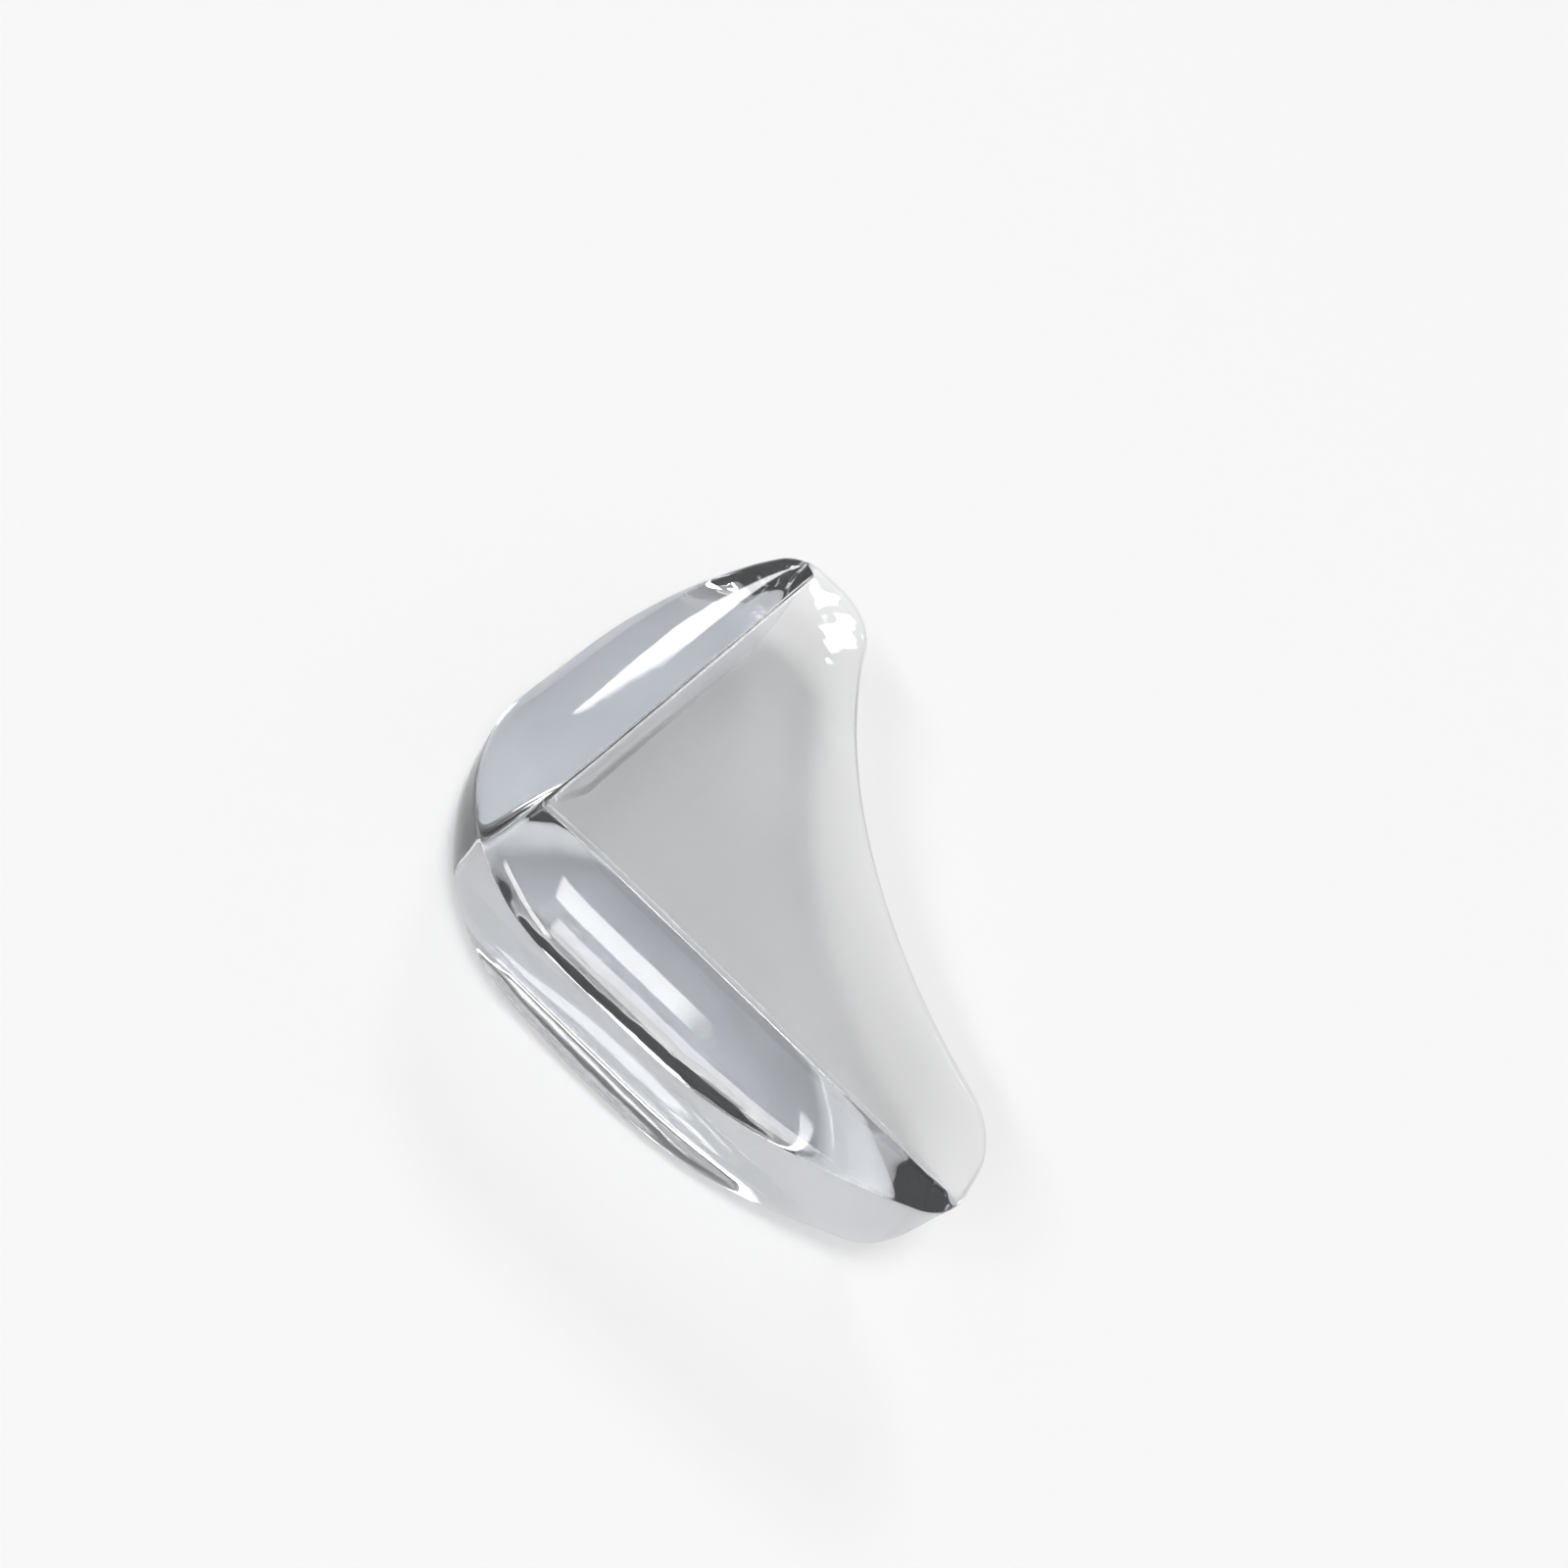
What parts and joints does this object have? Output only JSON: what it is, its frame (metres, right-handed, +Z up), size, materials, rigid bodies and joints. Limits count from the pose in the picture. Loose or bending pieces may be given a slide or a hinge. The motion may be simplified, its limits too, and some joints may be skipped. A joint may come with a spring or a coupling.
{
  "type": "furniture corner protector",
  "caption": "Clear soft PVC corner protector with an L-shaped rounded bumper and a thin flap for the table top.",
  "frame": {"origin": "centre of the bounding box at the base, on the surface that the protector stands on", "axes": "+Z up, away from the base; the two arms run along +X and +Y from the table's corner, which is at x = y = -21.05 mm"},
  "size_m": [0.0608, 0.0608, 0.0154],
  "materials": {
    "clear_pvc": "clear, glossy, soft moulded PVC"
  },
  "bodies": {
    "root": {"corner_guard": "clear_pvc"}
  },
  "joints": []
}
